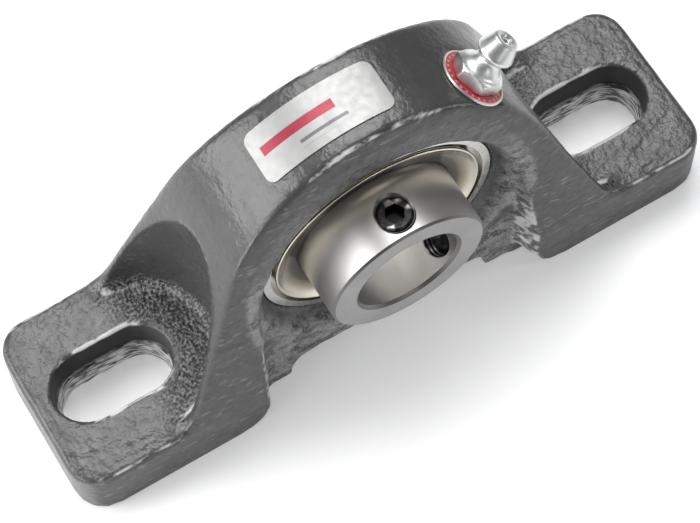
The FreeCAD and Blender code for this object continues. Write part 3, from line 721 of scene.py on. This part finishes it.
def vertex_normals(mesh):
    flat = np.zeros(len(mesh.vertices) * 3)
    mesh.vertex_normals.foreach_get("vector", flat)
    return flat.reshape(-1, 3)


def edge_ends(mesh):
    flat = np.zeros(len(mesh.edges) * 2, int)
    mesh.edges.foreach_get("vertices", flat)
    return flat.reshape(-1, 2)


def smoothed(points, edges, weight):
    """Move each point towards the middle of its neighbours, by its weight."""
    count = len(points)
    ends = np.concatenate([edges[:, 0], edges[:, 1]])
    others = np.concatenate([edges[:, 1], edges[:, 0]])
    number = np.bincount(ends, minlength=count).clip(1)
    for _ in range(SMOOTHING_PASSES):
        middle = np.empty_like(points)
        for axis in range(3):
            middle[:, axis] = np.bincount(ends, points[others, axis], count) / number
        points = points + (middle - points) * weight[:, None]
    return points


def from_rim(side, across):
    """How far a point of a foot lies inside the foot's outline, round its corners."""
    rim = np.minimum(HALF_LENGTH - side, HALF_WIDTH - across)
    corner_x = side - (HALF_LENGTH - CORNER_RADIUS)
    corner_y = across - (HALF_WIDTH - CORNER_RADIUS)
    in_corner = (corner_x > 0) & (corner_y > 0)
    return np.where(in_corner, CORNER_RADIUS - np.hypot(corner_x, corner_y), rim)


def from_scratch(points):
    line = SCRATCH_END - SCRATCH_START
    share = np.clip(((points[:, :2] - SCRATCH_START) @ line) / (line @ line), 0, 1)
    return np.linalg.norm(points[:, :2] - SCRATCH_START - share[:, None] * line, axis=1)


def casting_relief(points, normals):
    """How far each point of the casting stands out, in millimetres, and its looks: how much of
    each kind of skin, and of painted highlight, it has, by the name of the mesh attribute that
    the enamel reads."""
    x, y, z = points.T
    side, across = np.abs(x), np.abs(y)
    radius = np.hypot(x, z - SHAFT_HEIGHT)
    from_pocket = np.hypot(side - POCKET_CENTRE, y)
    from_slot = np.hypot(np.maximum(np.abs(side - SLOT_CENTRE) - SLOT_HALF, 0), y)
    sideways, forward = np.abs(normals[:, 0]), np.abs(normals[:, 1])
    level = normals[:, 2]

    foot_top = rise(level, FOOT_LEVEL) * rise(z, FOOT_BOTTOM) * fall(z, FOOT_TOP)
    foot_top *= rise(side, FOOT_SIDE)
    pocket_wall = fall(from_pocket, POCKET_EDGE) * rise(z, POCKET_WALL_BOTTOM)
    pocket_wall *= fall(level, POCKET_WALL_LEVEL)
    slot_wall = fall(from_slot, SLOT_EDGE) * fall(np.abs(level), SLOT_LEVEL)
    slot_band = slot_wall * fall(z, SLOT_BAND_TOP)
    slot_above = slot_wall - slot_band
    front = rise(forward, FRONT_FACING)
    dome = rise(radius, DOME_SKIN) * (1 - front)
    lip = fall(radius, LIP_OUTSIDE) * rise(radius, LIP_INSIDE) * rise(across, LIP_FACE)
    web = fall(side, WEB_SIDE) * fall(z, WEB_TOP) * rise(across, WEB_FACE)
    lip_or_web = np.maximum(lip, web)
    seat = fall(np.hypot(radius, y), SEAT_EDGE) * fall(across, SEAT_FACE)
    underside = fall(z, UNDERSIDE)
    spot = SHAFT + (SPOT_FACE * math.sin(FITTING_TURN), FITTING_OFFSET,
                    SPOT_FACE * math.cos(FITTING_TURN))
    under_fitting = fall(np.linalg.norm(points - spot, axis=1), FITTING_BED)
    still = np.maximum.reduce([seat, underside, under_fitting])
    moving = 1 - still
    turn = np.arctan2(x, z - SHAFT_HEIGHT)
    under_label = fall(np.abs(turn - LABEL_TURN) * DOME_RADIUS, LABEL_BED_LENGTH)
    under_label *= fall(across, LABEL_BED_WIDTH) * dome

    # Relief of the skin: fine grain, long waves, and streaks along the front and rear faces
    coarse, medium, long_waves = LatticeNoise(11), LatticeNoise(23), LatticeNoise(5)
    tilted = points @ GRAIN_TILT
    grain = coarse(tilted, 1.9) * 0.6 + medium(points, 1.15) * 0.4
    waves = long_waves(tilted, 5.5) * 0.7 + coarse(points + WAVE_SHIFT, 3.1) * 0.3
    streaks = medium(points * STREAK_SCALE, 1.3)
    grain_height = 0.030 + 0.045 * foot_top + 0.04 * front + 0.09 * slot_band
    grain_height += 0.085 * lip_or_web - 0.03 * pocket_wall - 0.01 * dome
    relief = grain * grain_height + waves * (0.055 + 0.06 * dome) + streaks * 0.045 * front

    # Single features, then the places where other pieces sit
    relief += SLOT_BAND_HEIGHT * slot_band
    groove = dip(from_rim(side, across) - GROOVE_FROM_RIM, GROOVE_WIDTH)
    relief -= GROOVE_DEPTH * (groove * foot_top)
    relief -= SCRATCH_DEPTH * dip(from_scratch(points), SCRATCH_WIDTH) * foot_top
    relief += KNOB_HEIGHT * dip(np.linalg.norm(points - KNOB, axis=1), KNOB_WIDTH)
    relief *= moving
    bedded = relief * (1 - under_label) - LABEL_BED_DEPTH * under_label
    relief = np.where(under_label > 0, bedded, relief)

    coarseness = 0.38 + 0.5 * foot_top + 0.25 * front + 0.5 * lip_or_web + 0.5 * slot_band
    coarseness -= 0.25 * pocket_wall + 0.3 * still + 0.3 * slot_above
    pocket_floor = fall(side, FLOOR_SIDE) * rise(from_slot, FLOOR_SLOT_EDGE)
    pocket_floor *= rise(z, FLOOR_BOTTOM) * fall(z, FLOOR_TOP)
    pocket_floor *= fall(from_pocket, FLOOR_EDGE) * (1 - slot_wall)
    # Painted highlights: edges facing the front softbox (crest), the far top rims of the slots,
    # the legs' inner walls (more on the front half) and streaks on the lip
    toward_crest = forward * CREST_AXIS[0] + level * CREST_AXIS[1]
    crest = rise(toward_crest, CREST_FACING) * moving * (1 - rise(radius, CREST_RADIUS) * lip)
    slot_rim = rise(toward_crest, SLOT_RIM_FACING) * fall(from_slot, SLOT_RIM_EDGE)
    slot_rim *= rise(z, SLOT_RIM_BOTTOM) * fall(side, SLOT_RIM_SIDE)
    inner_wall = rise(sideways, INNER_WALL_FACING) * rise(side, INNER_WALL_START)
    inner_wall *= fall(side, INNER_WALL_END) * rise(across, INNER_WALL_FRONT)
    inner_wall *= fall(z, INNER_WALL_TOP) * moving * (0.85 - 0.5 * rise(y, REAR_HALF))
    rough_lip = np.maximum(lip * fall(z, LIP_TOP), web) * moving
    looks = {
        "grain": np.clip(coarseness, 0, 1),
        "speckle": np.clip(pocket_floor * moving + rough_lip * 0.8, 0, 1),
        # sawn: bare iron bands, whose colour is also painted lighter against the shade in the
        # slots
        "sawn": slot_band,
        # dashed: brushed front faces, whose colour carries painted highlight dashes
        "dashed": front * (1 - lip) * moving * (1 - slot_wall),
        # crest: where the painted edge highlights go
        "crest": np.maximum.reduce([crest, 1.5 * slot_rim, 0.28 * rough_lip, inner_wall]),
        "dulled": 0.55 * slot_above + 0.2 * front * (1 - lip),
    }
    return relief, looks


def make_casting(material):
    mesh = remeshed("housing", VOXEL)
    points = coordinates(mesh)
    side, across = np.abs(points[:, 0]), np.abs(points[:, 1])
    distance = np.linalg.norm(points - SHAFT, axis=1)
    in_seat = (distance < SEAT_REACH) & (across < SEAT_HALF_WIDTH)
    in_pin_slot = (side < PIN_SLOT_SIDE) & (points[:, 2] > SHAFT_HEIGHT + PIN_SLOT_BOTTOM)
    in_pin_slot &= distance < PIN_SLOT_REACH
    weight = np.where(in_seat | in_pin_slot, 0.0, SMOOTHING)
    points = smoothed(points, edge_ends(mesh), weight)
    set_coordinates(mesh, points)
    mesh.update()

    relief, looks = casting_relief(points, vertex_normals(mesh))
    points = points + vertex_normals(mesh) * relief[:, None]
    points[:, 2] = np.maximum(points[:, 2], 0.0)

    # The outer ring and its pin keep their room
    half_width, clear_radius = SEAT_KEPT_CLEAR
    from_centre = points - SHAFT
    distance = np.linalg.norm(from_centre, axis=1)
    near_seat = (np.abs(points[:, 1]) < half_width) & (distance < clear_radius)
    from_centre[near_seat] *= (clear_radius / distance[near_seat])[:, None]
    points = from_centre + SHAFT
    side = np.abs(points[:, 0])
    slot_side = in_pin_slot & (side > PIN_SLOT_WALL[0]) & (side < PIN_SLOT_WALL[1])
    points[slot_side, 0] = np.sign(points[slot_side, 0]) * PIN_SLOT_WALL[1]
    set_coordinates(mesh, points)

    mesh.polygons.foreach_set("use_smooth", [True] * len(mesh.polygons))
    for name, values in looks.items():
        mesh.attributes.new(name, "FLOAT", "POINT").data.foreach_set("value", values)
    mesh.materials.clear()
    mesh.materials.append(material)
    mesh.update()
    casting = bpy.data.objects.new("casting", mesh)
    link_in(casting)
    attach(casting, "housing")
    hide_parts("housing")


# ---------------------------------------------------------------- insert and fitting
RING_SEGMENTS = 256
FLINGER_SHARP = 50          # edges sharper than these, in degrees, stay sharp
FITTING_SHARP = 38
TAG_SHARP = 45
# (along the shaft, height over the inner ring)
FLINGER_PROFILE = [
    (6.62, 0.0), (6.60, 1.2), (6.62, 2.6), (6.9, 3.6), (7.5, 4.7), (7.85, 5.1), (8.3, 5.1),
    (8.35, 4.75), (7.95, 4.25), (7.45, 3.4), (7.1, 2.4), (6.95, 1.3), (6.93, 0.5), (6.95, 0.02),
    (6.62, 0.02),
]


def make_flingers(material):
    for name, way in (("front_flinger", -1), ("rear_flinger", 1)):
        profile = [(way * out, INNER_RING_RADIUS + up) for out, up in rounded(FLINGER_PROFILE)]
        turns = np.linspace(0, 2 * math.pi, RING_SEGMENTS, endpoint=False)
        points = [(r * math.sin(t), along, SHAFT_HEIGHT + r * math.cos(t))
                  for t in turns for along, r in profile]
        faces = ring_faces(RING_SEGMENTS, len(profile))
        piece = object_from(name + "_disc", points, faces, material, FLINGER_SHARP)
        outward_normals(piece.data)
        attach(piece, "inner_ring")
        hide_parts(name)


# (height over the spot face, radius) of the shank, the hexagon, and the head with its passage
SHANK_LEVELS = [(-5.00, 0.75), (-5.00, 2.70), (-4.60, 3.08), (0.40, 3.08)]
HEX_LEVELS = [
    (0.50, 3.60), (0.52, 4.25), (0.62, 4.42), (0.80, 4.58), (2.00, 4.58), (2.25, 4.50),
    (2.45, 4.38), (2.62, 4.22), (2.76, 4.02), (2.88, 3.75),
]
HEAD_LEVELS = [
    (3.02, 3.42), (3.35, 3.05), (3.80, 2.72), (4.30, 2.46), (4.80, 2.28), (5.15, 2.22),
    (5.45, 2.30), (5.70, 2.62), (5.95, 3.00), (6.20, 3.20), (6.50, 3.25), (6.80, 3.20),
    (7.10, 3.10), (8.20, 2.68), (9.20, 2.30), (9.45, 2.18), (9.56, 2.02), (9.60, 1.85),
    (9.60, 1.35), (9.55, 1.22), (9.20, 1.05), (8.98, 0.98), (8.60, 1.15), (8.20, 1.22),
    (7.90, 1.30), (-4.50, 1.30), (-4.50, 0.75),
]
HEX_HALF_FLATS = 3.97
HEX_INSET = 0.02
HEX_SIDE = math.pi / 3
FITTING_SEGMENTS = 144


def make_fitting(material):
    points = []
    for levels, is_hex in ((SHANK_LEVELS, False), (HEX_LEVELS, True), (HEAD_LEVELS, False)):
        for (height, radius), turn in product(levels, around(FITTING_SEGMENTS)):
            reach = radius
            if is_hex:
                from_flat = (turn + HEX_SIDE / 2) % HEX_SIDE - HEX_SIDE / 2
                reach = min(radius, HEX_HALF_FLATS / math.cos(from_flat) - HEX_INSET)
            turn += HEX_SIDE / 2
            points.append((reach * math.cos(turn), reach * math.sin(turn), height))
    levels = len(points) // FITTING_SEGMENTS
    faces = []
    for level, index in product(range(levels), range(FITTING_SEGMENTS)):
        low, high = level * FITTING_SEGMENTS, (level + 1) % levels * FITTING_SEGMENTS
        after = (index + 1) % FITTING_SEGMENTS
        faces.append((low + index, low + after, high + after, high + index))
    piece = object_from("grease_fitting", on_fitting_axis(points), faces, material,
                        FITTING_SHARP)
    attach(piece, "housing")
    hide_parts("grease_fitting_body")


# (radius, height over the spot face)
TAG_PROFILE = [
    (3.35, 0.05), (3.35, 0.40), (3.6, 0.46), (4.4, 0.42), (5.2, 0.36), (5.40, 0.36),
    (5.50, 0.46), (5.66, 0.50), (5.80, 0.44), (5.85, 0.30), (5.84, 0.12), (5.75, 0.03),
    (5.4, 0.0), (3.6, 0.0),
]
TAG_SEGMENTS = 180


def make_tag(material):
    """Thin tag ring under the fitting, with a rolled rim."""
    profile = rounded(TAG_PROFILE, 1)
    points, place = [], []
    for turn, (radius, height) in product(around(TAG_SEGMENTS), profile):
        points.append((radius * math.cos(turn), radius * math.sin(turn), height))
        place.append((radius, turn, height - TAG_DATUM))
    faces = ring_faces(TAG_SEGMENTS, len(profile))
    piece = object_from("tag_ring", on_fitting_axis(points), faces, material, TAG_SHARP)
    outward_normals(piece.data)
    attribute = piece.data.attributes.new("tag_place", "FLOAT_VECTOR", "POINT")
    attribute.data.foreach_set("vector", np.asarray(place, float).ravel())
    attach(piece, "housing")
    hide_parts("grease_fitting_tag_ring")


# ---------------------------------------------------------------- assembly
BALLS = 8


def dress(node, material):
    """Give a carried CAD node its finish."""
    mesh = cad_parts[node].data
    mesh.materials.clear()
    mesh.materials.append(material)


def main():
    make_camera()
    make_studio()
    ground = metal_material("ground_ring_steel", (0.72, 0.71, 0.69), 0.22,
                            streak=(1.0, 6.0, 1.0), relief=0.004)
    pressed = flinger_material()
    zinc = metal_material("zinc_plate", (0.70, 0.71, 0.70), 0.36, streak_scale=600.0,
                          relief=0.012)
    cage = metal_material("cage_steel", (0.50, 0.48, 0.45), 0.32, relief=0.02)
    ball = metal_material("ball_steel", (0.74, 0.74, 0.74), 0.06, relief=0.001, stain=0.03)
    rubber = rubber_material()
    screw = black_screw_material()

    make_casting(enamel_material())
    make_flingers(pressed)
    make_fitting(zinc)
    make_tag(tag_material())

    dress("outer_ring", ground)
    dress("lock_pin", ground)
    dress("inner_ring", collar_material())
    dress("nameplate_label", label_material())
    dress("grease_fitting_check_ball", ball)
    dress("grease_fitting_spring", zinc)
    for node in ("cage_front_half", "cage_rear_half", "cage_rivets"):
        dress(node, cage)
    for side in ("front", "rear"):
        dress(side + "_seal_rubber", rubber)
        dress(side + "_seal_plate", pressed)
    for node in ("set_screw_top", "set_screw_side"):
        dress(node, screw)
    for number in range(1, BALLS + 1):
        dress("ball_" + str(number), ball)


main()
